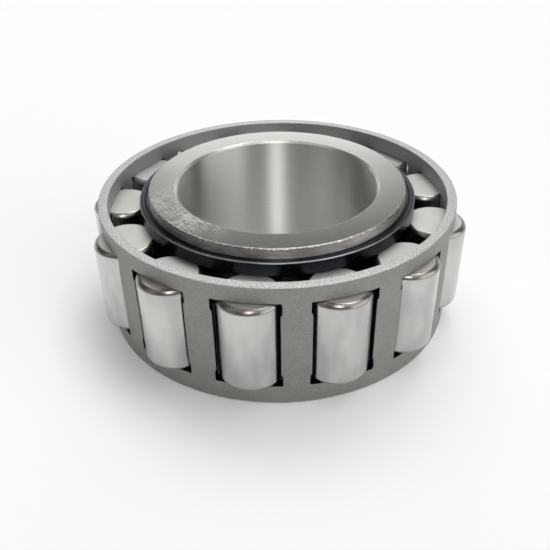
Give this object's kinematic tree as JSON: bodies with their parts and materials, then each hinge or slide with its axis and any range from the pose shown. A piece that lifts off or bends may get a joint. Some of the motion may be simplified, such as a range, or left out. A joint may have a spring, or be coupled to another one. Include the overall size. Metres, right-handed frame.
{
  "type": "cylindrical roller bearing",
  "caption": "Cylindrical roller bearing without an outer ring: ribbed inner ring, one-piece window cage and proud cylindrical rollers that run directly on a housing bore.",
  "frame": {"origin": "centre of the bore, halfway across the inner ring's width", "axes": "+Z along the bore's axis towards the end with the narrower cage rim; +X and +Y radial; the rollers start at -99 degrees from +X"},
  "size_m": [0.0561, 0.0562, 0.02],
  "materials": {
    "ring_steel": "hardened bearing steel, ground: satin faces and bore, bright broken edges",
    "cage_steel": "pressed sheet steel, tumbled: matte and finely mottled, with a bright grained rim",
    "roller_steel": "hardened bearing steel, superfinished: smooth soft satin with polished rounded ends"
  },
  "bodies": {
    "inner_ring": {"inner_ring": "ring_steel"},
    "cage": {"cage": "cage_steel"},
    "roller_01": {"roller_01": "roller_steel"},
    "roller_02": {"roller_02": "roller_steel"},
    "roller_03": {"roller_03": "roller_steel"},
    "roller_04": {"roller_04": "roller_steel"},
    "roller_05": {"roller_05": "roller_steel"},
    "roller_06": {"roller_06": "roller_steel"},
    "roller_07": {"roller_07": "roller_steel"},
    "roller_08": {"roller_08": "roller_steel"},
    "roller_09": {"roller_09": "roller_steel"},
    "roller_10": {"roller_10": "roller_steel"},
    "roller_11": {"roller_11": "roller_steel"},
    "roller_12": {"roller_12": "roller_steel"},
    "roller_13": {"roller_13": "roller_steel"}
  },
  "joints": [
    {"name": "cage_spin", "type": "hinge", "parent": "inner_ring", "child": "cage", "pos_m": [0, 0, 0], "axis": [0, 0, 1], "continuous": true},
    {"name": "roller_01_spin", "type": "hinge", "parent": "cage", "child": "roller_01", "pos_m": [-0.00372, -0.02348, 0], "axis": [0, 0, 1], "continuous": true},
    {"name": "roller_02_spin", "type": "hinge", "parent": "cage", "child": "roller_02", "pos_m": [0.00762, -0.02252, 0], "axis": [0, 0, 1], "continuous": true},
    {"name": "roller_03_spin", "type": "hinge", "parent": "cage", "child": "roller_03", "pos_m": [0.01721, -0.0164, 0], "axis": [0, 0, 1], "continuous": true},
    {"name": "roller_04_spin", "type": "hinge", "parent": "cage", "child": "roller_04", "pos_m": [0.02286, -0.00652, 0], "axis": [0, 0, 1], "continuous": true},
    {"name": "roller_05_spin", "type": "hinge", "parent": "cage", "child": "roller_05", "pos_m": [0.02327, 0.00485, 0], "axis": [0, 0, 1], "continuous": true},
    {"name": "roller_06_spin", "type": "hinge", "parent": "cage", "child": "roller_06", "pos_m": [0.01835, 0.01511, 0], "axis": [0, 0, 1], "continuous": true},
    {"name": "roller_07_spin", "type": "hinge", "parent": "cage", "child": "roller_07", "pos_m": [0.00923, 0.02191, 0], "axis": [0, 0, 1], "continuous": true},
    {"name": "roller_08_spin", "type": "hinge", "parent": "cage", "child": "roller_08", "pos_m": [-0.00201, 0.02369, 0], "axis": [0, 0, 1], "continuous": true},
    {"name": "roller_09_spin", "type": "hinge", "parent": "cage", "child": "roller_09", "pos_m": [-0.01279, 0.02004, 0], "axis": [0, 0, 1], "continuous": true},
    {"name": "roller_10_spin", "type": "hinge", "parent": "cage", "child": "roller_10", "pos_m": [-0.02063, 0.0118, 0], "axis": [0, 0, 1], "continuous": true},
    {"name": "roller_11_spin", "type": "hinge", "parent": "cage", "child": "roller_11", "pos_m": [-0.02375, 0.00086, 0], "axis": [0, 0, 1], "continuous": true},
    {"name": "roller_12_spin", "type": "hinge", "parent": "cage", "child": "roller_12", "pos_m": [-0.02143, -0.01028, 0], "axis": [0, 0, 1], "continuous": true},
    {"name": "roller_13_spin", "type": "hinge", "parent": "cage", "child": "roller_13", "pos_m": [-0.0142, -0.01906, 0], "axis": [0, 0, 1], "continuous": true}
  ],
  "couplings": [
    {"joint": "roller_01_spin", "follows": "cage_spin", "ratio": 4.2778},
    {"joint": "roller_02_spin", "follows": "cage_spin", "ratio": 4.2778},
    {"joint": "roller_03_spin", "follows": "cage_spin", "ratio": 4.2778},
    {"joint": "roller_04_spin", "follows": "cage_spin", "ratio": 4.2778},
    {"joint": "roller_05_spin", "follows": "cage_spin", "ratio": 4.2778},
    {"joint": "roller_06_spin", "follows": "cage_spin", "ratio": 4.2778},
    {"joint": "roller_07_spin", "follows": "cage_spin", "ratio": 4.2778},
    {"joint": "roller_08_spin", "follows": "cage_spin", "ratio": 4.2778},
    {"joint": "roller_09_spin", "follows": "cage_spin", "ratio": 4.2778},
    {"joint": "roller_10_spin", "follows": "cage_spin", "ratio": 4.2778},
    {"joint": "roller_11_spin", "follows": "cage_spin", "ratio": 4.2778},
    {"joint": "roller_12_spin", "follows": "cage_spin", "ratio": 4.2778},
    {"joint": "roller_13_spin", "follows": "cage_spin", "ratio": 4.2778}
  ]
}
